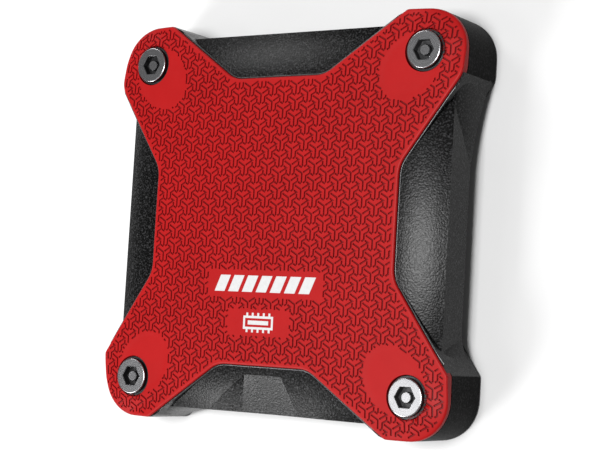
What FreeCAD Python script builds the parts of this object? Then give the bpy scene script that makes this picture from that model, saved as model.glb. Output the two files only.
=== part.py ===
"""Portable solid state drive: a black moulded housing with four corner lobes, a domed red grip plate
held over its front, and the board with its memory inside.

The drive lies on its back: +Z is the plate's front, +Y the edge opposite the socket, and the origin is
the middle of the rear face. Millimetres.
"""
import FreeCAD, Part
import math
import os

V = FreeCAD.Vector
UP = V(0, 0, 1)

# ---- Driving dimensions ----
WIDTH = 80.0               # across the lobes, both ways
HEIGHT = 15.2              # rear face to the top of the dome
DOME_R = 750.0             # radius of the plate's gently domed front
PLATE_T = 1.9
BOND_GAP = 0.15            # between the plate and the housing, away from the bonded pad
COVER_T = 2.3              # rear cover

# Outline of the plate, the rear cover and the lobes
LOBE_R = 8.0               # corners of the lobes, centred on the screws
LOBE_C = WIDTH / 2 - LOBE_R
VERTEX = 27.6              # where a lobe's side ends, measured along it
WAIST = 28.2               # half width across the waist
WAIST_SLOPE = 34.7         # degrees from the waist to the straight that rises to the lobe
WAIST_FILLET = 6.0
VERTEX_FILLET = 1.2
SOFT_FILLET = 5.0          # the softer vertices, at the +Y ends of the two sides across X

# Flanks between the lobes
FLANK = 37.5               # half width across the flanks
FLARE_ARCS = ((20.0, 20.0), (70.0, 13.0), (33.0, 33.0), (13.0, 70.0))   # plan radii at each side's two ends
FLARE_TOP_Z = 12.6         # where the flared walls run out under the plate's edge
CREASE_Z = 11.4            # front edge of the flank's side wall
REAR_CREASE_Z = 4.0        # rear edge of it
LIP_W, LIP_DROP = 0.35, 0.6  # rim of the housing along the plate's edge, and how far below the dome it lies
LIP_ROOT_Z = 8.0           # well inside the flanks
ROLL_SAG = 0.35            # bulge of the front roll-off above its chord

# Screws through the lobes
SCREW_AT = 32.0
HEAD_R, HEAD_H, HEAD_TOP = 3.55, 2.4, 14.5
HEAD_CHAMFER = 0.35
SOCKET_AF, SOCKET_DEPTH = 3.7, 1.5
PIN_R, PIN_DROP = 1.05, 0.5
SHANK_R = 1.5
SEAT_R = 4.0               # hole in the plate
COLLAR_WALL = 0.35         # housing collar that stands in that hole
COLLAR_DROP = 0.35         # collar's rim below the plate's surface
SEAT_GAP = 0.05
INSERT_R, INSERT_Z = 2.3, 1.8
BOSS_R = 4.3
BOSS_SPLIT_Z = 6.6         # where the housing's bosses meet the cover's
SCREW_TIP = 1.4

# Hollow of the housing
WALL = 2.2
CEILING_Z = 10.8
BAY_HALF, BAY_FLOOR_Z, BAY_CEILING_Z, BAY_END = 11.6, 4.9, 9.6, 36.0

POCKET_START, POCKET_END = 30.0, 38.5      # pocket in front of the socket, from the middle
# Each end of the pocket: half width and height of its creases, half width and height of its floor, floor's sag
POCKET_NEAR = (4.6, 14.05, 4.3, 13.85, 0.05)
POCKET_FAR = (15.3, 11.1, 6.9, 9.9, 0.35)
RIB_T, RIB_H = 1.0, 0.9    # locating rib of the rear cover
REAR_CHAMFER = 0.5
LABEL_W, LABEL_H, LABEL_T, LABEL_RECESS = 40.0, 24.0, 0.12, 0.25

# Board and socket
BOARD_Z, BOARD_T = 5.4, 1.0
BOARD_HALF = 25.0
NECK_HALF, NECK_END = 10.8, 35.6
BOARD_TOP = BOARD_Z + BOARD_T
BOARD_HOLE = 22.2
PORT_W, PORT_MAIN_W, PORT_H, PORT_WALL, PORT_DEPTH = 12.6, 7.4, 2.5, 0.25, 6.6
PORT_FACE = FLANK - 0.35
PORT_CLEARANCE = 0.12
BOARD_SCREW_R, BOARD_SCREW_TIP = 0.8, 10.2
POST_R = 2.4
LED_X = 9.2
GUIDE_R, GUIDE_Z = 0.8, 7.4

# Bonded pad on the plate's back, and its film
PAD_HALF, PAD_Z, FILM_T = 20.0, 12.6, 0.1

SIDES = range(4)


# ---- Helpers ----
def on_side(x, lateral, side, z=0.0):
    """A point given along and out from a side; side 0 is +Y and the rest follow clockwise."""
    angle = math.radians(-90 * side)
    return V(x * math.cos(angle) - lateral * math.sin(angle), x * math.sin(angle) + lateral * math.cos(angle), z)


def turned(shape, side):
    copy = shape.copy()
    copy.rotate(V(0, 0, 0), UP, -90 * side)
    return copy


def box(x0, x1, y0, y1, z0, z1):
    return Part.makeBox(x1 - x0, y1 - y0, z1 - z0, V(x0, y0, z0))


def cylinder(x, y, z0, z1, radius):
    return Part.makeCylinder(radius, z1 - z0, V(x, y, z0))


def fuse(shapes):
    return shapes[0].multiFuse(shapes[1:]).removeSplitter() if len(shapes) > 1 else shapes[0]


def group(shapes):
    return Part.makeCompound(shapes)


def line(start, end):
    return Part.LineSegment(start, end).toShape()


def arc(start, middle, end):
    return Part.Arc(start, middle, end).toShape()


def prism(wire, z0, z1):
    face = Part.Face(wire)
    face.translate(V(0, 0, z0))
    return face.extrude(V(0, 0, z1 - z0))


def dome(depth):
    """Everything below the front surface moved inwards by depth."""
    return Part.makeSphere(DOME_R - depth, V(0, 0, HEIGHT - DOME_R))


def dome_z(depth, radius):
    return HEIGHT - DOME_R + math.sqrt((DOME_R - depth) ** 2 - radius ** 2)


def corners(distance):
    return [(sx * distance, sy * distance) for sx in (-1, 1) for sy in (-1, 1)]


def solid(shape):
    """The one solid of a boolean result."""
    return shape.Solids[0]


# ---- Plan outlines ----
def lobe_edges(side):
    """Round a lobe's corner: straight, arc, straight."""
    half, bulge = WIDTH / 2, LOBE_C + LOBE_R * math.sqrt(0.5)
    arc_start, arc_end = on_side(LOBE_C, half, side), on_side(half, LOBE_C, side)
    return [line(on_side(VERTEX, half, side), arc_start), arc(arc_start, on_side(bulge, bulge, side), arc_end),
            line(arc_end, on_side(half, VERTEX, side))]


def waist_side(side):
    """Vertex, straight, fillet, waist, fillet, straight, vertex."""
    slope = math.radians(WAIST_SLOPE)
    corner = VERTEX - (WIDTH / 2 - WAIST) / math.tan(slope)
    tangent = WAIST_FILLET * math.tan(slope / 2)
    flat_end = corner - tangent
    rise_start = (corner + tangent * math.cos(slope), WAIST + tangent * math.sin(slope))
    bend = (flat_end + WAIST_FILLET * math.sin(slope / 2), WAIST + WAIST_FILLET * (1 - math.cos(slope / 2)))

    def at(sign, point):
        return on_side(sign * point[0], point[1], side)
    vertex = (VERTEX, WIDTH / 2)
    flat = (flat_end, WAIST)
    return [line(at(-1, vertex), at(-1, rise_start)), arc(at(-1, rise_start), at(-1, bend), at(-1, flat)),
            line(at(-1, flat), at(1, flat)), arc(at(1, flat), at(1, bend), at(1, rise_start)),
            line(at(1, rise_start), at(1, vertex))]


def flare(side, sign):
    """Where a flank's base starts to curve out to the lobe, the middle of that curve, and its end."""
    radius = FLARE_ARCS[side][0 if sign < 0 else 1]
    rise = WIDTH / 2 - FLANK
    run = math.sqrt(2 * radius * rise - rise ** 2)
    start = VERTEX - run
    half_turn = math.asin(run / radius) / 2
    middle = (sign * (start + radius * math.sin(half_turn)), FLANK + radius * (1 - math.cos(half_turn)))
    return (sign * start, FLANK), middle, (sign * VERTEX, WIDTH / 2)


def flank_side(side):
    """Vertex, hollow arc, straight flank, hollow arc, vertex."""
    left = [on_side(*point, side) for point in flare(side, -1)]
    right = [on_side(*point, side) for point in flare(side, 1)]
    return [arc(left[2], left[1], left[0]), line(left[0], right[0]), arc(*right)]


def outline(side_edges):
    edges = []
    for side in SIDES:
        edges += side_edges(side) + lobe_edges(side)
    return Part.Wire(edges)


def inset(wire, distance):
    return wire.makeOffset2D(-distance)


def upright_edges(shape, radii, length):
    """Edges parallel to Z, longer than length, whose distance from the axis lies between two radii."""
    found = []
    for edge in shape.Edges:
        start, end = edge.firstVertex().Point, edge.lastVertex().Point
        upright = abs(start.x - end.x) + abs(start.y - end.y) < 1e-6
        if upright and abs(start.z - end.z) > length and radii[0] < math.hypot(start.x, start.y) < radii[1]:
            found.append(edge)
    return found


VERTEX_RADII = (math.hypot(VERTEX, WIDTH / 2) - 0.5, math.hypot(VERTEX, WIDTH / 2) + 0.5)


def is_soft(edge):
    point = edge.firstVertex().Point
    return point.y > 0 and abs(point.x) > abs(point.y)


def x_prism(z0, z1):
    """The lobed X outline with its eight vertices rounded."""
    body = prism(outline(waist_side), z0, z1)
    vertices = upright_edges(body, VERTEX_RADII, (z1 - z0) / 2)
    body = body.makeFillet(SOFT_FILLET, [edge for edge in vertices if is_soft(edge)])
    vertices = upright_edges(body, VERTEX_RADII, (z1 - z0) / 2)
    return body.makeFillet(VERTEX_FILLET, [edge for edge in vertices if not is_soft(edge)])


# ---- Shells ----
def pad(half, z0):
    return box(-half, half, -half, half, z0, HEIGHT + 1)


def grip_plate():
    plate = x_prism(COVER_T, HEIGHT + 1).common(dome(0)).cut(dome(PLATE_T))
    plate = plate.fuse(pad(PAD_HALF, PAD_Z).common(dome(0))).removeSplitter()
    for x, y in corners(SCREW_AT):
        plate = plate.cut(cylinder(x, y, 0, HEIGHT + 1, SEAT_R))
    return solid(plate)


def plate_film():
    film = box(-PAD_HALF, PAD_HALF, -PAD_HALF, PAD_HALF, PAD_Z - FILM_T, PAD_Z)
    return film


def flank_profile():
    """Section through a flank, across its side: the rear slope, the side wall and the roll-off."""
    inner = WAIST - 6
    lip_z = dome_z(LIP_DROP, WAIST)
    front_start = V(0, WAIST + LIP_W, lip_z)
    front_end = V(0, FLANK, CREASE_Z)
    chord = front_end - front_start
    lift = V(0, -chord.z, chord.y).normalize() * ROLL_SAG
    front_middle = (front_start + front_end) * 0.5 + lift
    rear_end = V(0, FLANK, REAR_CREASE_Z)
    rear_start = V(0, WAIST, COVER_T)
    rear_inner = V(0, inner, COVER_T)
    front_inner = V(0, inner, lip_z)
    return Part.Wire([line(front_inner, front_start), arc(front_start, front_middle, front_end),
                      line(front_end, rear_end), line(rear_end, rear_start), line(rear_start, rear_inner),
                      line(rear_inner, front_inner)])


def flare_block(side, sign):
    """The part of a side wall that leans out to the lobe: straight along the plate's edge, curved at its base."""
    start, middle, end = flare(side, sign)
    crease_end = sign * (VERTEX - (WIDTH / 2 - FLANK) / math.tan(math.radians(WAIST_SLOPE)))
    inner = sign * VERTEX

    def ring(edge, z):
        """The flare's curved or straight edge, closed by the inner corner."""
        first, last = edge.firstVertex().Point, edge.lastVertex().Point
        corner = V(inner, FLANK, 0)
        wire = Part.Wire([edge, line(last, corner), line(corner, first)])
        wire.translate(V(0, 0, z))
        return wire
    top = ring(line(V(crease_end, FLANK, 0), V(*end, 0)), FLARE_TOP_Z)
    base = ring(arc(V(*start, 0), V(*middle, 0), V(*end, 0)), COVER_T)
    block = Part.makeLoft([top, base], True, True)
    beyond = sign * (VERTEX + 1)
    under = [V(start[0], FLANK - 1, REAR_CREASE_Z), V(end[0], FLANK - 1, COVER_T), V(beyond, FLANK - 1, 0),
             V(start[0], FLANK - 1, 0)]
    wedge = Part.Face(Part.makePolygon(under + under[:1])).extrude(V(0, WIDTH / 2 - FLANK + 2, 0))
    return block.cut(wedge)


def lip():
    """The rim that follows the plate's edge across the +Y side."""
    band = prism(inset(outline(waist_side), -LIP_W), LIP_ROOT_Z, HEIGHT).common(dome(LIP_DROP))
    return band.common(box(-VERTEX, VERTEX, WAIST - 1, WIDTH / 2, LIP_ROOT_Z, HEIGHT))


def flank_block(side):
    """One flank in the place of the +Y one, before it is trimmed to the plan and to the plate."""
    face = Part.Face(flank_profile())
    face.translate(V(-VERTEX, 0, 0))
    return fuse([face.extrude(V(2 * VERTEX, 0, 0)), flare_block(side, -1), flare_block(side, 1), lip()])


def trough(lateral, crease_half, crease_z, floor_half, floor_z, floor_sag):
    """One end of the pocket's cutter: a V with a shallow round floor, open upwards."""
    top = HEIGHT + 1
    points = [V(floor_half, -lateral, floor_z), V(crease_half, -lateral, crease_z), V(crease_half, -lateral, top),
              V(-crease_half, -lateral, top), V(-crease_half, -lateral, crease_z), V(-floor_half, -lateral, floor_z)]
    edges = [line(start, end) for start, end in zip(points, points[1:])]
    edges.append(arc(points[-1], V(0, -lateral, floor_z - floor_sag), points[0]))
    return Part.Wire(edges)


def port_pocket():
    """Above the socket the front surface drops away between two creases, to clear the plug's grip."""
    near = trough(POCKET_START, *POCKET_NEAR)
    far = trough(POCKET_END, *POCKET_FAR)
    return Part.makeLoft([near, far], True, True)


def screw_collars():
    """Round each screw head: a thin collar that the plate's hole locates on."""
    rim_z = dome_z(0, SCREW_AT * math.sqrt(2)) - COLLAR_DROP
    return [cylinder(x, y, CEILING_Z, rim_z, SEAT_R - SEAT_GAP) for x, y in corners(SCREW_AT)]


def screw_recesses():
    """The seats that the heads bear on, inside the collars, and the holes for the shanks."""
    radius = SEAT_R - SEAT_GAP - COLLAR_WALL
    seats = [cylinder(x, y, HEAD_TOP - HEAD_H, HEIGHT, radius) for x, y in corners(SCREW_AT)]
    return seats + [cylinder(x, y, 0, HEIGHT, SHANK_R + 0.2) for x, y in corners(SCREW_AT)]


def port_opening(clearance):
    """Space for the socket's shell through the housing wall."""
    low = BOARD_TOP - clearance
    return box(-PORT_W / 2 - clearance, PORT_W / 2 + clearance, -FLANK - 1, -BAY_END + 1,
               low, BOARD_TOP + PORT_H + clearance)


def housing_outer():
    lobes = x_prism(COVER_T, HEIGHT + 1).common(dome(PLATE_T + BOND_GAP))
    plan = prism(outline(flank_side), COVER_T, HEIGHT)
    plan = plan.makeFillet(VERTEX_FILLET, upright_edges(plan, VERTEX_RADII, 5))
    above = x_prism(COVER_T, HEIGHT + 1).cut(dome(PLATE_T + BOND_GAP))
    flanks = [turned(flank_block(side), side).common(plan).cut(above) for side in SIDES]
    return fuse([lobes] + flanks)


def housing():
    body = housing_outer().cut(port_pocket())
    body = fuse([body] + screw_collars())
    hollow = prism(inset(outline(waist_side), WALL), COVER_T - 1, CEILING_Z)
    hollow = hollow.cut(fuse([cylinder(x, y, BOSS_SPLIT_Z, CEILING_Z, BOSS_R) for x, y in corners(SCREW_AT)]))
    hollow = hollow.cut(fuse([cylinder(x, y, BOARD_TOP, CEILING_Z, POST_R) for x, y in corners(BOARD_HOLE)]))
    bay = box(-BAY_HALF, BAY_HALF, -BAY_END, -WAIST + WALL, BAY_FLOOR_Z, BAY_CEILING_Z)
    pocket = box(-PAD_HALF - 0.2, PAD_HALF + 0.2, -PAD_HALF - 0.2, PAD_HALF + 0.2, PAD_Z - FILM_T, HEIGHT)
    cuts = [hollow, bay, pocket, port_opening(PORT_CLEARANCE)] + screw_recesses()
    cuts += [cylinder(x, y, BOARD_TOP - 1, BOARD_SCREW_TIP, BOARD_SCREW_R + 0.03) for x, y in corners(BOARD_HOLE)]
    cuts.append(rod_along_y(LED_X, GUIDE_Z, -FLANK - 1, -BAY_END + 1, GUIDE_R + 0.03))
    for cut in cuts:
        body = body.cut(cut)
    return solid(body)


def rear_cover():
    plate = x_prism(0, COVER_T)
    rim = [edge for edge in plate.Edges if max(v.Point.z for v in edge.Vertexes) < 0.01]
    plate = plate.makeChamfer(REAR_CHAMFER, rim)
    rib_outer = prism(inset(outline(waist_side), WALL + 0.15), COVER_T, COVER_T + RIB_H)
    rib = rib_outer.cut(prism(inset(outline(waist_side), WALL + 0.15 + RIB_T), COVER_T, COVER_T + RIB_H))
    bosses = [cylinder(x, y, COVER_T, BOSS_SPLIT_Z, BOSS_R) for x, y in corners(SCREW_AT)]
    cover = fuse([plate, rib] + bosses)
    for x, y in corners(SCREW_AT):
        cover = cover.cut(cylinder(x, y, INSERT_Z, BOSS_SPLIT_Z, INSERT_R))
        cover = cover.cut(cylinder(x, y, SCREW_TIP - 0.3, INSERT_Z, SHANK_R + 0.2))
    cover = cover.cut(box(-LABEL_W / 2, LABEL_W / 2, -LABEL_H / 2, LABEL_H / 2, 0, LABEL_RECESS))
    return solid(cover)


def rear_label():
    gap = 0.3
    return box(-LABEL_W / 2 + gap, LABEL_W / 2 - gap, -LABEL_H / 2 + gap, LABEL_H / 2 - gap,
               LABEL_RECESS - LABEL_T, LABEL_RECESS)


# ---- Fasteners ----
def hexagon(x, y, z0, z1, across_flats):
    radius = across_flats / math.sqrt(3)
    points = [V(x + radius * math.cos(math.radians(60 * k)), y + radius * math.sin(math.radians(60 * k)), z0)
              for k in range(7)]
    return Part.Face(Part.makePolygon(points)).extrude(V(0, 0, z1 - z0))


def case_screw(x, y):
    """Cylinder head with a hexagon socket that has a pin in its middle."""
    head = cylinder(x, y, HEAD_TOP - HEAD_H, HEAD_TOP, HEAD_R)
    top_edge = [edge for edge in head.Edges if edge.CenterOfMass.z > HEAD_TOP - 0.01]
    head = head.makeChamfer(HEAD_CHAMFER, top_edge)
    head = head.cut(hexagon(x, y, HEAD_TOP - SOCKET_DEPTH, HEAD_TOP, SOCKET_AF))
    pin = cylinder(x, y, HEAD_TOP - SOCKET_DEPTH, HEAD_TOP - PIN_DROP, PIN_R)
    shank = cylinder(x, y, SCREW_TIP, HEAD_TOP - HEAD_H, SHANK_R)
    return solid(fuse([head, pin, shank]))


def threaded_insert(x, y):
    body = cylinder(x, y, INSERT_Z, BOSS_SPLIT_Z - 0.2, INSERT_R - 0.02)
    return body.cut(cylinder(x, y, INSERT_Z, BOSS_SPLIT_Z, SHANK_R + 0.03))


def board_screw(x, y):
    head = cylinder(x, y, BOARD_Z - 1.0, BOARD_Z, 1.9)
    rim = [edge for edge in head.Edges if edge.CenterOfMass.z < BOARD_Z - 0.9]
    head = head.makeFillet(0.4, rim)
    slot_w, slot_l, slot_d = 0.4, 2.0, 0.5
    for dx, dy in ((slot_l, slot_w), (slot_w, slot_l)):
        head = head.cut(box(x - dx / 2, x + dx / 2, y - dy / 2, y + dy / 2, BOARD_Z - 1.0, BOARD_Z - 1.0 + slot_d))
    return solid(fuse([head, cylinder(x, y, BOARD_Z, BOARD_SCREW_TIP - 0.5, BOARD_SCREW_R)]))


# ---- Board and what is soldered to it ----
def circuit_board():
    neck_start = -BOARD_HALF
    body = box(-BOARD_HALF, BOARD_HALF, neck_start, BOARD_HALF, BOARD_Z, BOARD_TOP)
    neck = box(-NECK_HALF, NECK_HALF, -NECK_END, neck_start, BOARD_Z, BOARD_TOP)
    board = fuse([body, neck])
    board = board.makeFillet(1.5, upright_edges(board, (BOARD_HALF, 2 * BOARD_HALF), BOARD_T / 2))
    for x, y in corners(BOARD_HOLE):
        board = board.cut(cylinder(x, y, 0, HEIGHT, BOARD_SCREW_R + 0.25))
    return solid(board)


def chip(x, y, width, depth, height, rear=False):
    """A package with its top edges eased and a dimple that marks its first pin."""
    z0 = BOARD_Z - height if rear else BOARD_TOP
    body = box(x - width / 2, x + width / 2, y - depth / 2, y + depth / 2, z0, z0 + height)
    outer_z = z0 if rear else z0 + height
    rim = [edge for edge in body.Edges if abs(edge.CenterOfMass.z - outer_z) < 0.01]
    body = body.makeChamfer(0.08, rim)
    dimple = 0.1
    low = outer_z if rear else outer_z - dimple
    return solid(body.cut(cylinder(x - width / 2 + 1.2, y + depth / 2 - 1.2, low, low + dimple, 0.4)))


def leaded_chip(x, y, width, depth, height, lead_pairs):
    """Small-outline package: body on a stand-off, gull-wing leads along its two long sides."""
    standoff, lead_w, lead_t, reach = 0.15, 0.4, 0.2, 1.0
    body = box(x - width / 2, x + width / 2, y - depth / 2, y + depth / 2, BOARD_TOP + standoff, BOARD_TOP + height)
    pitch = depth / lead_pairs
    leads = []
    for index in range(lead_pairs):
        middle = y + (index - (lead_pairs - 1) / 2) * pitch
        for side in (-1, 1):
            root, knee = x + side * width / 2, x + side * (width / 2 + reach * 0.4)
            tip = x + side * (width / 2 + reach)
            level = BOARD_TOP + height * 0.5
            leads.append(lead_piece(root, knee, tip, middle, lead_w, lead_t, level, side))
    return fuse([body] + leads)


def lead_piece(root, knee, tip, middle, width, thick, level, side):
    shoulder = box(min(root, knee), max(root, knee), middle - width / 2, middle + width / 2, level - thick, level)
    inner, outer = sorted((knee - side * thick, knee))
    leg = box(inner, outer, middle - width / 2, middle + width / 2, BOARD_TOP, level)
    foot = box(min(inner, tip), max(outer, tip), middle - width / 2, middle + width / 2, BOARD_TOP, BOARD_TOP + thick)
    return fuse([shoulder, leg, foot])


def inductor(x, y):
    size, height = 4.0, 2.0
    base = box(x - size / 2, x + size / 2, y - size / 2, y + size / 2, BOARD_TOP, BOARD_TOP + height)
    base = base.makeFillet(0.7, upright_edges(base, (0, 100), 1))
    return solid(base.cut(cylinder(x, y, BOARD_TOP + height - 0.3, BOARD_TOP + height, 1.4)))


def crystal(x, y):
    can = box(x - 1.6, x + 1.6, y - 1.25, y + 1.25, BOARD_TOP, BOARD_TOP + 0.8)
    return can.makeFillet(0.3, upright_edges(can, (0, 100), 0.5))


def passive(x, y, length, width, height):
    """Chip capacitor or resistor: a body between two slightly larger end caps."""
    cap, proud = length * 0.25, 0.04
    body = box(x - length / 2 + cap, x + length / 2 - cap, y - width / 2 + proud, y + width / 2 - proud,
               BOARD_TOP, BOARD_TOP + height - proud)
    ends = [box(x + low, x + low + cap, y - width / 2, y + width / 2, BOARD_TOP, BOARD_TOP + height)
            for low in (-length / 2, length / 2 - cap)]
    return solid(fuse([body] + ends))


def passive_row(x, y, count, step, length, width, height):
    return [passive(x + index * step, y, length, width, height) for index in range(count)]


# ---- Socket ----
def port_section(shrink):
    """Outline of the socket's mouth: the wide chamber with its two cut corners, and the narrow one beside it."""
    left, right = -PORT_W / 2 + shrink, PORT_W / 2 - shrink
    low, high = BOARD_TOP + shrink, BOARD_TOP + PORT_H - shrink
    main_right = left - shrink + PORT_MAIN_W - shrink
    aux_left = main_right + 0.5 + 2 * shrink
    notch_z = high - 0.5
    chamfer = 0.8
    points = [(left, high), (main_right, high), (main_right, notch_z), (aux_left, notch_z), (aux_left, high),
              (right, high), (right, low), (left + chamfer, low), (left, low + chamfer)]
    wire = Part.makePolygon([V(x, -PORT_FACE, z) for x, z in points + points[:1]])
    return Part.Face(wire)


def usb_receptacle_shell():
    outer = port_section(0).extrude(V(0, PORT_DEPTH, 0))
    inner = port_section(PORT_WALL).extrude(V(0, PORT_DEPTH - PORT_WALL, 0))
    shell = outer.cut(inner)
    tabs = [box(low, low + 1.2, -PORT_FACE + offset, -PORT_FACE + offset + 1.6, BOARD_TOP, BOARD_TOP + PORT_WALL)
            for low in (-PORT_W / 2 - 1.0, PORT_W / 2 - 0.2) for offset in (2.2, 4.6)]
    return solid(fuse([shell] + tabs))


TONGUES = ((-2.6, 4.6), (3.9, 2.6))      # middle and width of each contact tongue
TONGUE_T, TONGUE_REACH = 0.6, 4.4


def usb_receptacle_body():
    back = PORT_FACE - PORT_DEPTH + PORT_WALL + 0.02
    block = port_section(PORT_WALL + 0.02).extrude(V(0, PORT_DEPTH, 0))
    block = block.common(box(-PORT_W, PORT_W, -back - 1.4, -back, 0, HEIGHT))
    low = BOARD_TOP + PORT_H / 2 - TONGUE_T / 2
    tongues = [box(x - width / 2, x + width / 2, -back - 1.4 - TONGUE_REACH, -back - 1.3, low, low + TONGUE_T)
               for x, width in TONGUES]
    return solid(fuse([block] + tongues))


def usb_contacts():
    back = PORT_FACE - PORT_DEPTH + PORT_WALL + 0.02
    top = BOARD_TOP + PORT_H / 2 + TONGUE_T / 2
    blades = []
    for x, width in TONGUES:
        pitch = width / 5
        for index in range(5):
            middle = x + (index - 2) * pitch
            blades.append(box(middle - 0.15, middle + 0.15, -back - 1.2 - TONGUE_REACH, -back - 1.4, top, top + 0.06))
    return group(blades)


def rod_along_y(x, z, y0, y1, radius):
    return Part.makeCylinder(radius, y1 - y0, V(x, y0, z), V(0, 1, 0))


def status_led():
    body = box(LED_X - 0.8, LED_X + 0.8, -BAY_END + 0.6, -BAY_END + 1.4, BOARD_TOP, BOARD_TOP + 1.1)
    return body


def light_guide():
    shaft = rod_along_y(LED_X, GUIDE_Z, -FLANK + 0.15, -BAY_END, GUIDE_R)
    flange = rod_along_y(LED_X, GUIDE_Z, -BAY_END, -BAY_END + 0.5, GUIDE_R + 0.15)
    return solid(fuse([shaft, flange]))


# ---- The drive ----
def nodes():
    nand_w, nand_d, nand_h = 12.0, 18.0, 1.1
    pieces = {
        "grip_plate": grip_plate(),
        "plate_film": plate_film(),
        "housing": housing(),
        "rear_cover": rear_cover(),
        "rear_label": rear_label(),
        "case_screws": group([case_screw(x, y) for x, y in corners(SCREW_AT)]),
        "threaded_inserts": group([threaded_insert(x, y) for x, y in corners(SCREW_AT)]),
        "board_screws": group([board_screw(x, y) for x, y in corners(BOARD_HOLE)]),
        "circuit_board": circuit_board(),
        "controller_chip": chip(-1.0, -8.5, 12.0, 12.0, 1.0),
        "bridge_chip": chip(0.0, -22.0, 7.0, 7.0, 0.9),
        "firmware_chip": leaded_chip(-14.0, -13.0, 3.9, 4.9, 1.5, 4),
        "power_regulator": leaded_chip(13.0, -8.0, 3.0, 3.0, 1.1, 3),
        "power_inductors": group([inductor(x, -14.0) for x in (12.0, 18.0)]),
        "crystals": group([crystal(-8.5, -20.0), crystal(-10.5, -3.0)]),
        "usb_receptacle_shell": usb_receptacle_shell(),
        "usb_receptacle_body": usb_receptacle_body(),
        "usb_contacts": usb_contacts(),
        "status_led": status_led(),
        "light_guide": light_guide(),
    }
    capacitors = passive_row(-18.0, -7.0, 3, 2.6, 1.6, 0.8, 0.8) + passive_row(9.0, -19.5, 5, 2.6, 1.6, 0.8, 0.8)
    capacitors += passive_row(-17.0, 22.0, 13, 2.8, 1.0, 0.5, 0.5)
    resistors = passive_row(-18.0, -18.5, 4, 2.0, 1.0, 0.5, 0.35) + passive_row(-7.0, -27.5, 4, 1.8, 1.0, 0.5, 0.35)
    pieces["chip_capacitors"] = group(capacitors)
    pieces["chip_resistors"] = group(resistors)
    for index, (x, rear) in enumerate(((-9.0, False), (9.0, False), (-9.0, True), (9.0, True)), 1):
        pieces[f"nand_package_{index}"] = chip(x, 9.5 if not rear else 2.0, nand_w, nand_d, nand_h, rear)
    pad_top = BOARD_Z - nand_h
    pieces["thermal_pad"] = box(-15.5, 15.5, -7.0, 11.0, COVER_T, pad_top)
    return pieces


if __name__ == "__main__":
    os.makedirs("parts", exist_ok=True)
    for name, shape in nodes().items():
        shape.exportStep(f"parts/{name}.step")
        print(f"{name}: {len(shape.Solids)} solids, valid {shape.isValid()}, {shape.Volume:.1f} mm3")
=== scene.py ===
"""Looks of a portable solid state drive: engraved red grip plate, grained black housing, steel screws."""

import math

import bpy
from mathutils import Matrix, Vector
from mathutils.geometry import delaunay_2d_cdt


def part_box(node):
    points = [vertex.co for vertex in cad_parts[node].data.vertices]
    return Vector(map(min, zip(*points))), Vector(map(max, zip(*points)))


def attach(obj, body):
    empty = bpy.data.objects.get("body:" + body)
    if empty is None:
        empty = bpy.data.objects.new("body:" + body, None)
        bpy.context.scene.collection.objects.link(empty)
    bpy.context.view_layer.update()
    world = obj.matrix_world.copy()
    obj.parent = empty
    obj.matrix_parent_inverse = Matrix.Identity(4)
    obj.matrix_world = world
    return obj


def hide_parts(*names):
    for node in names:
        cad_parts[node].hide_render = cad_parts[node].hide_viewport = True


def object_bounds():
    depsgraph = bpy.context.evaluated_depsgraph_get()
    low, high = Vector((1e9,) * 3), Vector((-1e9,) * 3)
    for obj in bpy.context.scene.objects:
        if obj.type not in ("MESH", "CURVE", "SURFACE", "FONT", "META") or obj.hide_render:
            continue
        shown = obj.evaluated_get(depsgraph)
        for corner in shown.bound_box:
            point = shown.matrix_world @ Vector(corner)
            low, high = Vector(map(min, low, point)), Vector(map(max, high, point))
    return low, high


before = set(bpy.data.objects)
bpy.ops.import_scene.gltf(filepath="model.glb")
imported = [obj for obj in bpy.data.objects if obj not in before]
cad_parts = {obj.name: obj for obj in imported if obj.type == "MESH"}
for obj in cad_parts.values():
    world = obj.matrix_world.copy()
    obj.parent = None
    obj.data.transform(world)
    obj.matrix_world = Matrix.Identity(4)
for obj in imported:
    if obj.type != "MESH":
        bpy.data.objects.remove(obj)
cad_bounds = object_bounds()

MM = 0.001

# ---- Shape of the drive, in millimetres ----
DOME_R = 750.0
PLATE_T = 1.9
WIDTH = (cad_bounds[1].x - cad_bounds[0].x) / MM
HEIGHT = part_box("grip_plate")[1].z / MM
LOBE_R = 8.0
LOBE_C = WIDTH / 2 - LOBE_R
VERTEX = 27.6
VERTEX_FILLET = 1.2
SOFT_FILLET = 5.0                  # the vertices at the +Y ends of the two sides across X
WAIST = 28.2
WAIST_SLOPE = math.radians(34.7)
WAIST_FILLET = 6.0
SCREW_AT = 32.0
SEAT_R = 4.15                      # hole in the plate, at its eased mouth
SEAT_LIP = 0.15                    # depth of the strip below that mouth
HEAD_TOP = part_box("case_screws")[1].z / MM
HEAD_R, HEAD_H, HEAD_EDGE = 3.55, 2.4, 0.2
FLAT_RING = 0.04                   # level strip that keeps a head's face flat up to its rounded edge
SOCKET_AF, SOCKET_DEPTH, SOCKET_EASE = 3.7, 1.5, 0.12
PIN_R, PIN_DROP, PIN_EASE = 1.05, 0.5, 0.12
SHANK_R, SCREW_TIP, TIP_CHAMFER = 1.5, 1.4, 0.3

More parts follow.
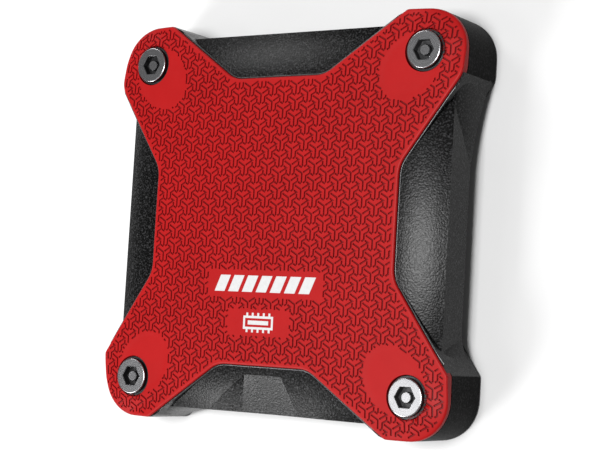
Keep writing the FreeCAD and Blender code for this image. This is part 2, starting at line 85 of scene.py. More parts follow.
# ---- Engraving of the plate, in millimetres ----
PITCH = 3.145                      # between like motifs, up the plate
GROOVE_HALF = (0.19, 0.155, 0.105)  # half widths at the lip, below it, and on the floor
GROOVE_DEPTH = (0.0, 0.05, 0.20)
RIM, RIM_DROP = 0.4, 0.32          # rounded edge of the plate
ROLL_W, ROLL_DROP = 4.5, 0.8       # soft fall of the front at the outer edges of the lobes
MARGIN = 0.66                      # engraving stops this far inside the edge
DISH_DEPTH = 0.05
LIP_W, LIP_DROP = 0.35, 0.6        # rim of the housing beside the plate, and how far below the dome it lies
BEAD_RISE = 0.17
BEAD_GAP, BEAD_SINK, BEAD_FADE = 0.02, 0.04, 2.5   # off the plate, into the rim, length of the fade-out
SWELL = 0.0035                     # bulge of the flanks, millimetres per square millimetre from their middle
SWELL_END = 24.0                   # and the swelling stops here
GRAIN_MM = 0.026                   # depth of the housing's grain
SPECKLE = 0.34                     # size of the grain
BEAD_END = 26.0                    # the rim fades out here, along its side
DISH_HALF = (7.0, 5.6)             # half axes of the smooth dish round a screw, along and across the diagonal
DISH_C = 29.2
LATTICE_SHIFT = Vector((-0.93, 1.26))
DISH_REACH, DISH_STEP = 9.0, 0.45  # half width and spacing of the grid that shapes a dish
SEAT_CLEAR = 0.35                  # the grid keeps this far from a screw hole
BARS_AT, CHIP_AT = (0.0, -12.4), (-1.0, -19.9)
MARK_BOXES = ((*BARS_AT, 13.4, 2.6), (*CHIP_AT, 7.2, 2.6))   # centre and half size of the bare patches
BAR_COUNT, BAR_WIDTH, BAR_HEIGHT, BAR_GAP, BAR_LEAN = 7, 2.4, 3.2, 0.9, 0.7
CHIP_WIDTH, CHIP_HEIGHT, CHIP_STROKE = 7.0, 2.6, 0.45
CORE_INSET, CORE_HEIGHT = 2.2, 0.8
PIN_PITCH, PIN_WIDTH, PIN_LENGTH = 1.3, 0.45, 0.6

# ---- Camera and lights, in millimetres, degrees and watts ----
LENS, SENSOR = 95.5, 36.0
CAMERA_X, CAMERA_Y, CAMERA_ABOVE = 174.9, -22.77, 253.3   # the last is above the plane of the screw heads
CAMERA_AIM = (7.1, -0.8)           # the camera looks at this point of that plane
CAMERA_ROLL = -3.39
WORLD_STRENGTH = 0.15
LIGHT_DISTANCE = 700
LIGHTS = (                         # name, direction, size, power
    ("overhead", (0.13, -0.02, 0.98), (250, 200), 5.9),
    ("left_edge", (-0.46, -0.13, 0.87), (170, 170), 0.33),
    ("far_panel", (-0.55, 0.62, 0.55), (240, 200), 1.1),
    ("near_panel", (-0.57, -0.60, 0.56), (240, 200), 3.5),
)


# ================= plain helpers =================
def dome_z(x, y, depth=0.0):
    return HEIGHT - DOME_R + math.sqrt((DOME_R - depth) ** 2 - x * x - y * y)


def smooth(edge0, edge1, value):
    t = min(max((value - edge0) / (edge1 - edge0), 0.0), 1.0)
    return t * t * (3 - 2 * t)


def dish_level(x, y):
    """0 at the middle of the nearest screw's dish, 1 at its edge."""
    dx, dy = abs(x) - DISH_C, abs(y) - DISH_C
    along, across = (dx + dy) / math.sqrt(2), (dx - dy) / math.sqrt(2)
    return math.hypot(along / DISH_HALF[0], across / DISH_HALF[1])


def roll_off(x, y):
    """How far the plate's front has dropped below the dome near the outer edges of the lobes."""
    from_x, from_y = abs(x) - LOBE_C, abs(y) - LOBE_C
    if from_x > 0 and from_y > 0:
        inside = LOBE_R - math.hypot(from_x, from_y)
    else:
        inside = LOBE_R - max(from_x, from_y)
    near, far = min(abs(x), abs(y)), max(abs(x), abs(y))
    from_slant = (near - VERTEX) * math.sin(WAIST_SLOPE) - (far - WIDTH / 2) * math.cos(WAIST_SLOPE)
    return ROLL_DROP * smooth(0, ROLL_W, from_slant) * max(0.0, 1 - max(inside, 0.0) / ROLL_W) ** 2


def front_z(x, y):
    """Height of the plate's front, with the dishes round the screws."""
    return dome_z(x, y) - roll_off(x, y) - DISH_DEPTH * (1 - smooth(0.86, 1.0, dish_level(x, y)))


def mesh_object(name, points, faces, materials=(), face_slots=None, smooth_angle=30):
    mesh = bpy.data.meshes.new(name)
    mesh.from_pydata([Vector(p) * MM for p in points], [], faces)
    for material in materials:
        mesh.materials.append(material)
    if face_slots:
        mesh.polygons.foreach_set("material_index", face_slots)
    mesh.update()
    piece = bpy.data.objects.new(name, mesh)
    bpy.context.scene.collection.objects.link(piece)
    mesh.shade_smooth()
    mesh.set_sharp_from_angle(angle=math.radians(smooth_angle))
    return piece


# ================= outline of the plate =================
def arc_points(centre, radius, start, end, step, outward):
    """Points and outward normals along an arc; outward is -1 where the arc is hollow."""
    count = max(2, round(abs(end - start) * radius / step))
    made = []
    for index in range(count):
        angle = start + (end - start) * index / count
        normal = Vector((math.cos(angle), math.sin(angle)))
        made.append((centre + normal * radius, normal * outward))
    return made


def line_points(start, end, step):
    count = max(1, round((end - start).length / step))
    along = (end - start).normalized()
    normal = Vector((-along.y, along.x))
    return [(start.lerp(end, index / count), normal) for index in range(count)]


def is_soft(x, y):
    return y > 0 and abs(x) > abs(y)


def plate_corners():
    """Sharp corners of the lobed outline with their radii, clockwise from the +Y side's left vertex."""
    half = WIDTH / 2
    notch = VERTEX - (half - WAIST) / math.tan(WAIST_SLOPE)
    found = []
    for turn in range(4):
        spin = Matrix.Rotation(-turn * math.pi / 2, 2)
        for x, y, radius in ((-VERTEX, half, VERTEX_FILLET), (-notch, WAIST, WAIST_FILLET),
                             (notch, WAIST, WAIST_FILLET), (VERTEX, half, VERTEX_FILLET),
                             (half, half, LOBE_R)):
            place = spin @ Vector((x, y))
            if radius == VERTEX_FILLET and is_soft(*place):
                radius = SOFT_FILLET
            found.append((place, radius))
    return found


def rounding(before, corner, after, radius):
    """Where a corner's arc starts, its centre, its turn, and where it ends."""
    arrive, leave = (corner - before).normalized(), (after - corner).normalized()
    turn = math.atan2(arrive.x * leave.y - arrive.y * leave.x, arrive.dot(leave))
    back = radius * math.tan(abs(turn) / 2)
    start = corner - arrive * back
    side = 1 if turn < 0 else -1
    centre = start + Vector((arrive.y, -arrive.x)) * radius * side
    return start, centre, turn, corner + leave * back


def plate_outline(step=0.8):
    """Points with outward normals, clockwise."""
    sharp = plate_corners()
    count = len(sharp)
    arcs = []
    for k, (corner, radius) in enumerate(sharp):
        arcs.append(rounding(sharp[k - 1][0], corner, sharp[(k + 1) % count][0], radius))
    made = []
    for k, (start, centre, turn, end) in enumerate(arcs):
        radius = sharp[k][1]
        first = math.atan2(start.y - centre.y, start.x - centre.x)
        made += arc_points(centre, radius, first, first + turn, min(step, radius / 3), 1 if turn < 0 else -1)
        made += line_points(end, arcs[(k + 1) % count][0], step)
    return made


def inside_outline(x, y, inset):
    """True where a point is at least inset inside the plate's outline."""
    fillet = SOFT_FILLET if is_soft(x, y) else VERTEX_FILLET
    x, y = abs(x), abs(y)
    x, y = min(x, y), max(x, y)
    half = WIDTH / 2
    if y <= WAIST - inset:
        return True
    if y > half - inset:
        return False
    if x > LOBE_C and y > LOBE_C:
        return math.hypot(x - LOBE_C, y - LOBE_C) <= LOBE_R - inset
    slope_x, slope_y = math.cos(WAIST_SLOPE), math.sin(WAIST_SLOPE)
    from_x, from_y = x - VERTEX - fillet * math.tan(WAIST_SLOPE / 2), y - half + fillet
    if from_x < 0 and from_x * slope_x + from_y * slope_y > 0:
        return math.hypot(from_x, from_y) <= fillet - inset
    return (x - VERTEX) * slope_y - (y - half) * slope_x >= inset


# ================= engraving =================
def motif():
    """The lines of one three-armed tile and its share of the tiles' edges, about its middle, +Y up."""
    u = PITCH / 3
    w = u * math.cos(math.radians(30))
    centre, tip = Vector((0, 0)), Vector((2 * w, u))
    left_tip, stem_tip = Vector((-2 * w, u)), Vector((0, -2 * u))
    outer, inner = Vector((2 * w, 0)), Vector((w, -u / 2))
    foot = Vector((w, -1.5 * u))
    upper = Vector((w, 1.5 * u))
    crown_left, crown = Vector((-w, 1.5 * u)), Vector((0, u))
    return [
        [centre.lerp(left_tip, 0.80), centre, centre.lerp(stem_tip, 0.88)],
        [centre.lerp(tip, 0.15), tip, tip.lerp(upper, 0.74)],
        [crown.lerp(crown_left, 0.10), crown.lerp(crown_left, 0.82)],
        [tip.lerp(outer, 0.30), outer, inner, foot, foot.lerp(stem_tip, 0.58)],
    ]


def in_mark_box(x, y):
    return any(abs(x - cx) < hx and abs(y - cy) < hy for cx, cy, hx, hy in MARK_BOXES)


def engraved_at(point):
    x, y = point
    return inside_outline(x, y, MARGIN) and dish_level(x, y) > 1.02 and not in_mark_box(x, y)


def without_stubs(run, least):
    """Drops end pieces too short for the line to turn a corner in."""
    while len(run) > 2 and (run[1] - run[0]).length < least:
        run = run[1:]
    while len(run) > 2 and (run[-1] - run[-2]).length < least:
        run = run[:-1]
    return run


def clipped(line):
    """The stretches of a polyline that lie where the plate is engraved."""
    samples = 10
    least = 0.3
    runs, run = [], []
    for start, end in zip(line, line[1:]):
        for index in range(samples):
            a, b = start.lerp(end, index / samples), start.lerp(end, (index + 1) / samples)
            if engraved_at(a) and engraved_at(b):
                if not run:
                    run = [a]
                elif index == 0:
                    run.append(a)
                last = b
            elif run:
                runs.append(run + [last])
                run = []
    if run:
        runs.append(run + [last])
    runs = [without_stubs(r, least) for r in runs]
    return [r for r in runs if (r[1] - r[0]).length > least]


def ribbon(line, half, shorten):
    """Closed outline, counter-clockwise, of a line drawn with a half width, its ends drawn in by shorten."""
    line = list(line)
    line[0] = line[0] + (line[1] - line[0]).normalized() * shorten
    line[-1] = line[-1] + (line[-2] - line[-1]).normalized() * shorten
    left, right = [], []
    for index, point in enumerate(line):
        before = (point - line[index - 1]).normalized() if index else None
        after = (line[index + 1] - point).normalized() if index + 1 < len(line) else None
        before = before or after
        after = after or before
        normal = Vector((-before.y - after.y, before.x + after.x)).normalized()
        reach = half / normal.dot(Vector((-before.y, before.x)))
        left.append(point + normal * reach)
        right.append(point - normal * reach)
    return right + left[::-1]


def engraving():
    """Every engraved line of the plate."""
    column = PITCH * math.cos(math.radians(30))
    reach = int(WIDTH / 2 / column) + 1
    lines = []
    for i in range(-reach, reach + 1):
        for j in range(-reach, reach + 1):
            middle = Vector((i * column, (j + (i % 2) / 2) * PITCH)) + LATTICE_SHIFT
            for line in motif():
                lines += clipped([middle + p for p in line])
    return lines


def circle(cx, cy, radius, count):
    turn = 2 * math.pi / count
    return [Vector((cx + radius * math.cos(turn * k), cy + radius * math.sin(turn * k)))
            for k in range(count)]


def corners(distance):
    return [(sx * distance, sy * distance) for sx in (-1, 1) for sy in (-1, 1)]


def triangulate(boundary, holes, extra):
    """Triangles inside a boundary, outside the holes, through every given point."""
    points, faces = [], []
    for loop in [boundary] + holes:
        faces.append(list(range(len(points), len(points) + len(loop))))
        points += loop
    points += extra
    found = delaunay_2d_cdt(points, [], faces, 0, 1e-5)
    kept = [tri for tri, source in zip(found[2], found[5]) if source == [0]]
    return found[0], kept, found[3]


def dish_points():
    """A grid of extra points where the front is not a plain dome."""
    reach = int(DISH_REACH / DISH_STEP)
    made = []
    for cx, cy in corners(DISH_C):
        for i in range(-reach, reach + 1):
            for j in range(-reach, reach + 1):
                x, y = cx + i * DISH_STEP, cy + (j + 0.5 * (i % 2)) * DISH_STEP
                level = dish_level(x, y)
                clear = math.hypot(abs(x) - SCREW_AT, abs(y) - SCREW_AT) > SEAT_R + SEAT_CLEAR
                if level < 1.02 and clear and inside_outline(x, y, RIM + 0.3):
                    made.append(Vector((x, y)))
    return made


def build_plate(front, groove, wall):
    outline = plate_outline()
    count = len(outline)
    edge = [p - n * RIM for p, n in outline]
    lines = engraving()
    lips = [ribbon(line, GROOVE_HALF[0], 0) for line in lines]
    seats = [circle(x, y, SEAT_R, 48) for x, y in corners(SCREW_AT)]
    flat, triangles, source = triangulate(edge[::-1], seats + lips, dish_points())
    points = [(p.x, p.y, front_z(p.x, p.y)) for p in flat]
    faces = [list(t) for t in triangles]
    slots = [0] * len(faces)
    where = {}
    for index, origins in enumerate(source):
        for origin in origins:
            where[origin] = index

    def add_ring(ring):
        first = len(points)
        points.extend(ring)
        return list(range(first, len(points)))

    def join(upper, lower, slot):
        """Quads between two closed rings that run counter-clockwise seen from above."""
        total = len(upper)
        for k in range(total):
            after = (k + 1) % total
            faces.append([upper[k], lower[k], lower[after], upper[after]])
            slots.append(slot)

    # rounded rim, side wall and underside
    upper = [where[k] for k in range(count)]
    steps = 6
    reversed_outline = outline[::-1]
    for index in range(1, steps + 1):
        angle = math.pi / 2 * index / steps
        inset, drop = RIM * (1 - math.sin(angle)), RIM_DROP * (1 - math.cos(angle))
        ring = [p - n * inset for p, n in reversed_outline]
        lower = add_ring([(p.x, p.y, front_z(p.x, p.y) - drop) for p in ring])
        join(upper, lower, 0)
        upper = lower
    ease = 0.12
    # Painted shade: the side wall and its eased lower edge take a darker copy of the red.
    for inset, depth in ((0, PLATE_T - ease), (ease, PLATE_T)):
        ring = [p - n * inset for p, n in reversed_outline]
        lower = add_ring([(p.x, p.y, dome_z(p.x, p.y, depth)) for p in ring])
        join(upper, lower, 2)
        upper = lower
    bottom_edge = upper
    # screw seats: eased lip, wall
    seat_bottoms = []
    start = count
    for seat in seats:
        upper = [where[start + k] for k in range(len(seat))][::-1]
        start += len(seat)
        loop = seat[::-1]
        for level in (lambda x, y: front_z(x, y) - SEAT_LIP, lambda x, y: dome_z(x, y, PLATE_T)):
            lower = add_ring([(p.x, p.y, level(p.x, p.y)) for p in loop])
            join(upper, lower, 0)
            upper = lower
        seat_bottoms.append((loop, upper))
    # underside
    under_loop = [p - n * ease for p, n in reversed_outline]
    holes = [loop[::-1] for loop, _ in seat_bottoms]
    _, under_faces, under_source = triangulate(under_loop, holes, [])
    ids = bottom_edge + [i for _, ring in seat_bottoms for i in ring[::-1]]
    remap = {}
    for index, origins in enumerate(under_source):
        remap[index] = ids[origins[0]]
    for tri in under_faces:
        faces.append([remap[i] for i in tri][::-1])
        slots.append(0)
    # grooves
    for line, lip in zip(lines, lips):
        total = len(lip)
        upper = [where[start + k] for k in range(total)][::-1]
        start += total
        # Painted shade: the lower groove walls and the groove floors take the darker copy of the red.
        for half, depth in list(zip(GROOVE_HALF, GROOVE_DEPTH))[1:]:
            ring = ribbon(line, half, GROOVE_HALF[0] - half)[::-1]
            lower = add_ring([(p.x, p.y, front_z(p.x, p.y) - depth) for p in ring])
            join(upper, lower, 0 if depth < 0.1 else 1)
            upper = lower
        middle = total // 2
        for k in range(middle - 1):
            faces.append([upper[k], upper[total - 1 - k], upper[total - 2 - k], upper[k + 1]])
            slots.append(1)
    piece = mesh_object("engraved_plate", points, faces, (front, groove, wall), slots, smooth_angle=32)
    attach(piece, "root")
    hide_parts("grip_plate")
    return piece


# ================= case screws =================
def hexagon(cx, cy, across_flats, per_side):
    """A hexagon's outline, counter-clockwise, with a corner towards +X and extra points along its sides."""
    radius = across_flats / math.sqrt(3)
    tips = circle(cx, cy, radius, 6)
    return [tips[k].lerp(tips[(k + 1) % 6], j / per_side) for k in range(6) for j in range(per_side)]


def build_screws(material, shaded_steel):
    """Cylinder heads with a hexagon socket and a pin in its middle, on their shanks.

    The face, its eased edges and the pin's top take the first material, and the rest the second, a darker
    steel that is painted shade in the socket and on the head's side.
    """
    around = 60
    points, faces, slots = [], [], []

    def ring(loop, z):
        first = len(points)
        points.extend((p.x, p.y, z) for p in loop)
        return list(range(first, len(points)))

    def wall(upper, lower):
        """Quads between two counter-clockwise rings; they face outwards when upper lies above lower."""
        total = len(upper)
        for k in range(total):
            after = (k + 1) % total
            faces.append([upper[k], lower[k], lower[after], upper[after]])

    def level_face(outer, outer_loop, inner, inner_loop):
        """A flat ring that faces up."""
        ids = outer + inner
        _, triangles, source = triangulate(outer_loop, [inner_loop], [])
        for triangle in triangles:
            faces.append([ids[source[i][0]] for i in triangle])

    for x, y in corners(SCREW_AT):
        flat = circle(x, y, HEAD_R - HEAD_EDGE - FLAT_RING, around)
        socket = hexagon(x, y, SOCKET_AF, around // 6)
        mouth = hexagon(x, y, SOCKET_AF + 2 * SOCKET_EASE, around // 6)
        pin = circle(x, y, PIN_R, around)
        pin_top = circle(x, y, PIN_R - PIN_EASE, around)
        # outside: rounded edge, side, underside, shank and its end
        top = ring(flat, HEAD_TOP)
        upper = ring(circle(x, y, HEAD_R - HEAD_EDGE, around), HEAD_TOP)
        wall(top, upper)
        for step in range(1, 5):
            angle = math.pi / 2 * step / 4
            radius = HEAD_R - HEAD_EDGE * (1 - math.sin(angle))
            lower = ring(circle(x, y, radius, around), HEAD_TOP - HEAD_EDGE * (1 - math.cos(angle)))
            wall(upper, lower)
            upper = lower
        slots += [0] * (len(faces) - len(slots))
        # Painted shade: the head's side, its underside and the shank take the darker steel.
        for radius, z in ((HEAD_R, HEAD_TOP - HEAD_H), (SHANK_R, HEAD_TOP - HEAD_H),
                          (SHANK_R, SCREW_TIP + TIP_CHAMFER), (SHANK_R - TIP_CHAMFER, SCREW_TIP)):
            lower = ring(circle(x, y, radius, around), z)
            wall(upper, lower)
            upper = lower
        faces.append(upper[::-1])
        slots += [1] * (len(faces) - len(slots))
        # face, socket and pin
        edge = ring(mouth, HEAD_TOP)
        level_face(top, flat, edge, mouth)
        eased = ring(socket, HEAD_TOP - SOCKET_EASE)
        shoulder = ring(pin, HEAD_TOP - PIN_DROP - PIN_EASE)
        cap = ring(pin_top, HEAD_TOP - PIN_DROP)
        wall(edge, eased)
        wall(cap, shoulder)
        faces.append(cap)
        slots += [0] * (len(faces) - len(slots))
        # Painted shade: the socket's walls and floor and the pin's side take the darker steel.
        floor = ring(socket, HEAD_TOP - SOCKET_DEPTH)
        foot = ring(pin, HEAD_TOP - SOCKET_DEPTH)
        wall(eased, floor)
        level_face(floor, socket, foot, pin)
        wall(shoulder, foot)
        slots += [1] * (len(faces) - len(slots))
    piece = mesh_object("socket_head_screws", points, faces, (material, shaded_steel), slots,
                        smooth_angle=32)
    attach(piece, "root")
    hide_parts("case_screws")
    return piece


# ================= rim of the housing =================
def build_lip_beads(material):
    """The rounded rim of the housing beside the plate: one bead along each side, between the lobes."""
    rows = 6
    outline = plate_outline(0.6)
    for turn in range(4):
        spin = Matrix.Rotation(turn * math.pi / 2, 2)
        path = []
        for place, normal in outline:
            x, y = spin @ place
            if abs(x) < BEAD_END and y > 0 and abs(x) < y:
                path.append((place, normal, x))
        path.sort(key=lambda item: item[2])
        points, faces = [], []
        for place, normal, x in path:
            taper = smooth(BEAD_END, BEAD_END - BEAD_FADE, abs(x))
            for row in range(rows + 1):
                angle = math.pi * row / rows
                out = BEAD_GAP + LIP_W / 2 * (1 - math.cos(angle))
                p = place + normal * out
                rise = BEAD_RISE * taper * math.sin(angle)
                points.append((p.x, p.y, dome_z(p.x, p.y) - LIP_DROP - BEAD_SINK + rise))
        for index in range(len(path) - 1):
            for row in range(rows):
                a, b = index * (rows + 1) + row, (index + 1) * (rows + 1) + row
                faces.append([a, a + 1, b + 1, b])
        piece = mesh_object(f"lip_bead_{turn + 1}", points, faces, (material,), smooth_angle=60)
        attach(piece, "root")


# ================= printed mark =================
def printed_shape(polygons, name, material):
    """Thin ink on the plate's front: convex outlines in plate coordinates, counter-clockwise."""
    ink, bite = 0.025, 0.03
    points, faces = [], []
    for polygon in polygons:
        first, total = len(points), len(polygon)
        points += [(x, y, dome_z(x, y) + ink) for x, y in polygon]
        points += [(x, y, dome_z(x, y) - bite) for x, y in polygon]
        faces.append(list(range(first, first + total)))
        faces.append(list(range(first + total, first + 2 * total))[::-1])
        for k in range(total):
            after = (k + 1) % total
            faces.append([first + k, first + total + k, first + total + after, first + after])
    piece = mesh_object(name, points, faces, (material,))
    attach(piece, "root")
    return piece


def slanted_bars(cx, cy):
    """A row of equal leaning bars."""
    step = BAR_WIDTH + BAR_GAP
    left = cx - (BAR_COUNT * step - BAR_GAP) / 2
    low, high = cy - BAR_HEIGHT / 2, cy + BAR_HEIGHT / 2
    bars = []
    for index in range(BAR_COUNT):
        x = left + index * step
        bars.append([(x - BAR_LEAN, low), (x + BAR_WIDTH - BAR_LEAN, low),
                     (x + BAR_WIDTH + BAR_LEAN, high), (x + BAR_LEAN, high)])
    return bars


def rectangle(cx, cy, width, height):
    return [(cx - width / 2, cy - height / 2), (cx + width / 2, cy - height / 2),
            (cx + width / 2, cy + height / 2), (cx - width / 2, cy + height / 2)]


def chip_sign(cx, cy):
    """A generic memory chip: a frame, a core and five pins on each long side."""
    width, height, stroke = CHIP_WIDTH, CHIP_HEIGHT, CHIP_STROKE
    shapes = [rectangle(cx, cy + sign * (height - stroke) / 2, width, stroke) for sign in (-1, 1)]
    shapes += [rectangle(cx + sign * (width - stroke) / 2, cy, stroke, height - 2 * stroke)
               for sign in (-1, 1)]
    shapes.append(rectangle(cx, cy, width - CORE_INSET, CORE_HEIGHT))
    for index in range(-2, 3):
        for sign in (-1, 1):
            middle = cy + sign * (height / 2 + PIN_LENGTH / 2)
            shapes.append(rectangle(cx + index * PIN_PITCH, middle, PIN_WIDTH, PIN_LENGTH))
    return shapes


# ================= materials =================
class Nodes:
    """A material under construction: short calls that add nodes and link them."""

    def __init__(self, name):
        self.material = bpy.data.materials.new(name)
        self.material.use_nodes = True
        self.tree = self.material.node_tree
        self.shader = self.tree.nodes["Principled BSDF"]
        self.place = self.add("ShaderNodeTexCoord").outputs["Object"]

    def add(self, kind, **values):
        node = self.tree.nodes.new(kind)
        for key, value in values.items():
            setattr(node, key, value)
        return node

    def set(self, **values):
        for key, value in values.items():
            self.shader.inputs[key.replace("_", " ")].default_value = value

    def link(self, source, socket):
        self.tree.links.new(source, self.shader.inputs[socket] if isinstance(socket, str) else socket)

    def noise(self, size_mm, detail=3.0, rough=0.55, place=None):
        """Noise between 0 and 1 whose features measure about size_mm."""
        node = self.add("ShaderNodeTexNoise")
        node.inputs["Scale"].default_value = 1 / (size_mm * MM)
        node.inputs["Detail"].default_value = detail
        node.inputs["Roughness"].default_value = rough
        self.tree.links.new(place or self.place, node.inputs["Vector"])
        return node.outputs["Fac"]

    def cells(self, size_mm):
        node = self.add("ShaderNodeTexVoronoi", feature="SMOOTH_F1")
        node.inputs["Scale"].default_value = 1 / (size_mm * MM)
        self.tree.links.new(self.place, node.inputs["Vector"])
        return node.outputs["Distance"]

    def spread(self, source, low, high, start=0.3, end=0.7):
        """Maps start..end of a value to low..high."""
        node = self.add("ShaderNodeMapRange")
        node.inputs["From Min"].default_value = start
        node.inputs["From Max"].default_value = end
        node.inputs["To Min"].default_value = low
        node.inputs["To Max"].default_value = high
        self.tree.links.new(source, node.inputs["Value"])
        return node.outputs["Result"]

    def tints(self, source, first, second, start=0.35, end=0.65):
        node = self.add("ShaderNodeValToRGB")
        node.color_ramp.elements[0].position = start
        node.color_ramp.elements[0].color = (*first, 1)
        node.color_ramp.elements[1].position = end
        node.color_ramp.elements[1].color = (*second, 1)
        self.tree.links.new(source, node.inputs["Fac"])
        return node.outputs["Color"]

    def math(self, operation, first, second=None):
        """One arithmetic step; second may be a socket or a number."""
        node = self.add("ShaderNodeMath", operation=operation)
        self.tree.links.new(first, node.inputs[0])
        if isinstance(second, (int, float)):
            node.inputs[1].default_value = second
        elif second:
            self.tree.links.new(second, node.inputs[1])
        return node.outputs[0]

    def bump(self, source, height_mm, strength=1.0, under=None):
        node = self.add("ShaderNodeBump")
        node.inputs["Distance"].default_value = height_mm * MM
        node.inputs["Strength"].default_value = strength
        self.tree.links.new(source, node.inputs["Height"])
        if under:
            self.tree.links.new(under, node.inputs["Normal"])
        return node.outputs["Normal"]


def red_coating(name, bright, dark):
    """Satin rubber-like coating, very slightly mottled."""
    m = Nodes(name)
    m.link(m.tints(m.noise(6.0), dark, bright), "Base Color")
    m.link(m.spread(m.noise(0.25), 0.40, 0.50), "Roughness")
    m.link(m.bump(m.noise(0.12, 2.0), 0.004), "Normal")
    m.set(Specular_IOR_Level=0.13)
    return m.material


def black_moulding():
    """Dark polymer with a fine spark-eroded grain; the flanks swell very slightly along their length."""
    m = Nodes("black_grain")
    speckle = m.noise(SPECKLE, 0.5)
    m.link(m.tints(speckle, (0.001, 0.001, 0.001), (0.030, 0.030, 0.031), 0.50, 0.75), "Base Color")
    m.link(m.spread(m.noise(0.4), 0.24, 0.36), "Roughness")
    split = m.add("ShaderNodeSeparateXYZ")
    m.tree.links.new(m.place, split.inputs[0])
    sizes = [m.math("ABSOLUTE", split.outputs[axis]) for axis in ("X", "Y")]
    along = m.math("MINIMUM", m.math("MINIMUM", sizes[0], sizes[1]), SWELL_END * MM)
    swell_mm = m.math("MULTIPLY", m.math("MULTIPLY", along, along), -SWELL / MM ** 2)
    swell = m.bump(swell_mm, 1.0)
    grain = m.bump(m.noise(SPECKLE, 0.0), GRAIN_MM, under=swell)
    m.link(m.bump(m.cells(0.26), GRAIN_MM / 2, under=grain), "Normal")
    m.set(Specular_IOR_Level=0.13)
    return m.material


def lobe_shade_moulding():
    """The lobes' walls: the same grained polymer, its colour darkened as painted shade and its reflection
    weakened so that less of the pale floor shows in it.
    """
    m = Nodes("black_lobe_painted_shade")
    speckle = m.noise(SPECKLE, 0.5)
    m.link(m.tints(speckle, (0.0005, 0.0005, 0.0005), (0.014, 0.014, 0.014), 0.50, 0.75), "Base Color")
    m.link(m.spread(m.noise(0.4), 0.42, 0.54), "Roughness")
    m.link(m.bump(m.noise(SPECKLE, 0.0), GRAIN_MM), "Normal")
    m.set(Specular_IOR_Level=0.03)
    return m.material


def worn_edge():
    """The same polymer rubbed smooth along its edges."""
    m = Nodes("black_rim")
    m.link(m.tints(m.noise(0.8), (0.010, 0.010, 0.011), (0.018, 0.018, 0.019)), "Base Color")
    m.link(m.spread(m.noise(0.5), 0.26, 0.36), "Roughness")
    m.link(m.bump(m.noise(0.15), 0.003), "Normal")
    m.set(Specular_IOR_Level=0.6)
    return m.material


def turned_steel():
    """Turned head: fine rings about each screw's own axis."""
    m = Nodes("turned_steel")
    split = m.add("ShaderNodeSeparateXYZ")
    m.tree.links.new(m.place, split.inputs[0])
    squares = []
    for axis in ("X", "Y"):
        from_screw = m.math("SUBTRACT", m.math("ABSOLUTE", split.outputs[axis]), SCREW_AT * MM)
        squares.append(m.math("MULTIPLY", from_screw, from_screw))
    radius = m.math("SQRT", m.math("ADD", squares[0], squares[1]))
    rings = m.noise(0.3, 1.0, place=radius)
    m.link(m.tints(m.noise(2.5), (0.34, 0.34, 0.35), (0.37, 0.37, 0.38)), "Base Color")
    m.link(m.spread(rings, 0.24, 0.28), "Roughness")
    m.link(m.bump(rings, 0.0001), "Normal")
    m.set(Metallic=1.0)
    return m.material


def plain_surface(name, first, second, rough, size_mm=0.8, metallic=0.0, relief_mm=0.004):
    """A mottled surface with a fine relief, for the small parts."""
    m = Nodes(name)
    m.link(m.tints(m.noise(size_mm), first, second), "Base Color")
    m.link(m.spread(m.noise(size_mm / 3), rough * 0.85, rough * 1.15), "Roughness")
    m.link(m.bump(m.noise(size_mm / 6), relief_mm), "Normal")
    m.set(Metallic=metallic)
    return m.material


def clear_acrylic():
    m = Nodes("clear_acrylic")
    m.link(m.spread(m.noise(0.4), 0.04, 0.12), "Roughness")
    m.link(m.tints(m.noise(0.8), (0.90, 0.94, 0.97), (0.97, 0.98, 1.0)), "Base Color")
    m.set(Transmission_Weight=0.9, IOR=1.49)
    return m.material


def dress(node, material):
    """Gives a CAD node a better material."""
    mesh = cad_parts[node].data
    mesh.materials.clear()
    mesh.materials.append(material)


def dress_lobes(node, walls, collars):
    """Gives the lobes' upright walls a darker copy of the housing's polymer, painted shade, and the collars
    round the screws a finish of their own.
    """
    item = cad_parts[node]
    item.data.materials.append(walls)
    item.data.materials.append(collars)
    for face in item.data.polygons:
        centre = item.matrix_world @ face.center / MM
        normal = item.matrix_world.to_3x3() @ face.normal
        if math.hypot(abs(centre.x) - SCREW_AT, abs(centre.y) - SCREW_AT) < SEAT_R:
            face.material_index = 2
        elif min(abs(centre.x), abs(centre.y)) > VERTEX and abs(normal.z) < 0.5:
            # painted shade: the lobes' upright walls take the darkened copy of the polymer
            face.material_index = 1


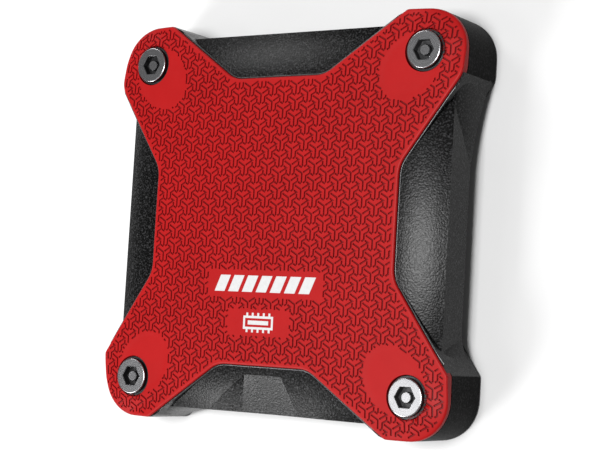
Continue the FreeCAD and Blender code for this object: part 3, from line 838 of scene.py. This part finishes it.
def dress_all(black, lobe_wall_shade, rim_black):
    chip = plain_surface("moulded_epoxy", (0.012, 0.012, 0.013), (0.022, 0.022, 0.024), 0.55)
    looks = {
        "housing": black,
        "rear_cover": black,
        "rear_label": plain_surface("label_film", (0.30, 0.31, 0.32), (0.36, 0.37, 0.38), 0.40),
        "plate_film": plain_surface("bonding_film", (0.62, 0.62, 0.58), (0.70, 0.70, 0.66), 0.30),
        "threaded_inserts": plain_surface("brass", (0.62, 0.44, 0.16), (0.72, 0.54, 0.24), 0.30,
                                          metallic=1.0),
        "board_screws": plain_surface("zinc", (0.52, 0.52, 0.53), (0.62, 0.62, 0.62), 0.30, metallic=1.0),
        "circuit_board": plain_surface("solder_mask", (0.004, 0.07, 0.03), (0.008, 0.10, 0.045), 0.25, 3.0),
        "power_inductors": plain_surface("ferrite", (0.06, 0.06, 0.065), (0.10, 0.10, 0.105), 0.60),
        "crystals": plain_surface("crystal_can", (0.62, 0.62, 0.60), (0.72, 0.72, 0.70), 0.22, metallic=1.0),
        "chip_capacitors": plain_surface("capacitor_clay", (0.34, 0.22, 0.12), (0.42, 0.29, 0.17), 0.45, 0.3),
        "chip_resistors": plain_surface("resistor_glaze", (0.01, 0.01, 0.012), (0.03, 0.03, 0.035), 0.30,
                                        0.3),
        "usb_receptacle_shell": plain_surface("plated_shell", (0.60, 0.60, 0.60), (0.70, 0.70, 0.70), 0.22,
                                              metallic=1.0),
        "usb_receptacle_body": plain_surface("socket_polymer", (0.01, 0.01, 0.01), (0.02, 0.02, 0.02), 0.50),
        "usb_contacts": plain_surface("gold_flash", (0.80, 0.56, 0.20), (0.90, 0.66, 0.30), 0.22,
                                      metallic=1.0),
        "status_led": plain_surface("led_epoxy", (0.70, 0.70, 0.66), (0.82, 0.82, 0.78), 0.25),
        "light_guide": clear_acrylic(),
        "thermal_pad": plain_surface("gap_pad", (0.16, 0.20, 0.30), (0.20, 0.25, 0.36), 0.70),
    }
    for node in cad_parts:
        if node not in ("grip_plate", "case_screws"):
            dress(node, looks.get(node, chip))
    for node in ("housing", "rear_cover"):
        dress_lobes(node, lobe_wall_shade, rim_black)


# ================= stage, light, camera =================
def make_floor():
    half = 900.0
    mesh = bpy.data.meshes.new("floor")
    mesh.from_pydata([Vector(c) * MM for c in ((-half, -half, 0), (half, -half, 0), (half, half, 0),
                                               (-half, half, 0))], [], [[0, 1, 2, 3]])
    floor = bpy.data.objects.new("floor", mesh)
    bpy.context.scene.collection.objects.link(floor)
    m = Nodes("floor_paper")
    m.link(m.tints(m.noise(40.0), (0.60, 0.60, 0.60), (0.62, 0.62, 0.62)), "Base Color")
    m.set(Roughness=0.9)
    mesh.materials.append(m.material)


def aim(item, place, target, roll=0.0):
    """Puts an item at a place, looking down its -Z at a target, its picture's up near the part's +Y."""
    forward = (Vector(target) - Vector(place)).normalized()
    right = forward.cross(Vector((0, 1, 0))).normalized()
    up = right.cross(forward)
    turn = Matrix.Rotation(roll, 3, forward)
    right, up = turn @ right, turn @ up
    item.matrix_world = Matrix((right, up, -forward)).transposed().to_4x4()
    item.matrix_world.translation = Vector(place) * MM


def soft_light(name, direction, distance, size, power, target=(0, 0, 8)):
    lamp = bpy.data.lights.new(name, "AREA")
    lamp.shape = "RECTANGLE"
    lamp.size, lamp.size_y = size[0] * MM, size[1] * MM
    lamp.energy = power
    item = bpy.data.objects.new(name, lamp)
    bpy.context.scene.collection.objects.link(item)
    aim(item, Vector(target) + Vector(direction).normalized() * distance, target)


def light_scene():
    bpy.context.scene.view_settings.view_transform = "Standard"
    world = bpy.data.worlds.new("studio")
    bpy.context.scene.world = world
    world.use_nodes = True
    back = world.node_tree.nodes["Background"]
    back.inputs["Color"].default_value = (1, 1, 1, 1)
    back.inputs["Strength"].default_value = WORLD_STRENGTH
    for name, direction, size, power in LIGHTS:
        soft_light(name, direction, LIGHT_DISTANCE, size, power)


def make_camera():
    screw_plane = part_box("case_screws")[1].z / MM
    data = bpy.data.cameras.new("camera")
    data.lens, data.sensor_width = LENS, SENSOR
    data.clip_start = 0.01
    camera = bpy.data.objects.new("camera", data)
    bpy.context.scene.collection.objects.link(camera)
    place = (CAMERA_X, CAMERA_Y, CAMERA_ABOVE + screw_plane)
    aim(camera, place, (*CAMERA_AIM, screw_plane), math.radians(CAMERA_ROLL))
    bpy.context.scene.camera = camera


make_camera()
make_floor()
light_scene()
red = red_coating("red_coating", (0.302, 0.0050, 0.0054), (0.284, 0.0043, 0.0047))
# A darker copy of the red, painted shade for the grooves' lower walls and floors.
shaded_groove_red = red_coating("red_groove_painted_shade", (0.140, 0.003, 0.004), (0.125, 0.0025, 0.0035))
# A darker copy of the red, painted shade for the plate's side wall.
red_side_painted_shade = red_coating("red_side_painted_shade", (0.235, 0.0040, 0.0045), (0.215, 0.0034, 0.0038))
build_plate(red, shaded_groove_red, red_side_painted_shade)
white_ink = plain_surface("white_ink", (0.44, 0.44, 0.44), (0.47, 0.47, 0.47), 0.45, relief_mm=0.002)
printed_shape(slanted_bars(*BARS_AT), "mark_bars", white_ink)
printed_shape(chip_sign(*CHIP_AT), "mark_chip", white_ink)
rim_black = worn_edge()
build_lip_beads(rim_black)
# The second steel is a darker copy, painted shade in the sockets and on the heads' sides.
build_screws(turned_steel(), plain_surface("socket_bore_painted_shade", (0.05, 0.05, 0.052), (0.08, 0.08, 0.082), 0.38, 0.6,
                                           metallic=1.0, relief_mm=0.002))
# The lobes' walls take a darker copy of the housing polymer: painted shade.
dress_all(black_moulding(), lobe_shade_moulding(), rim_black)
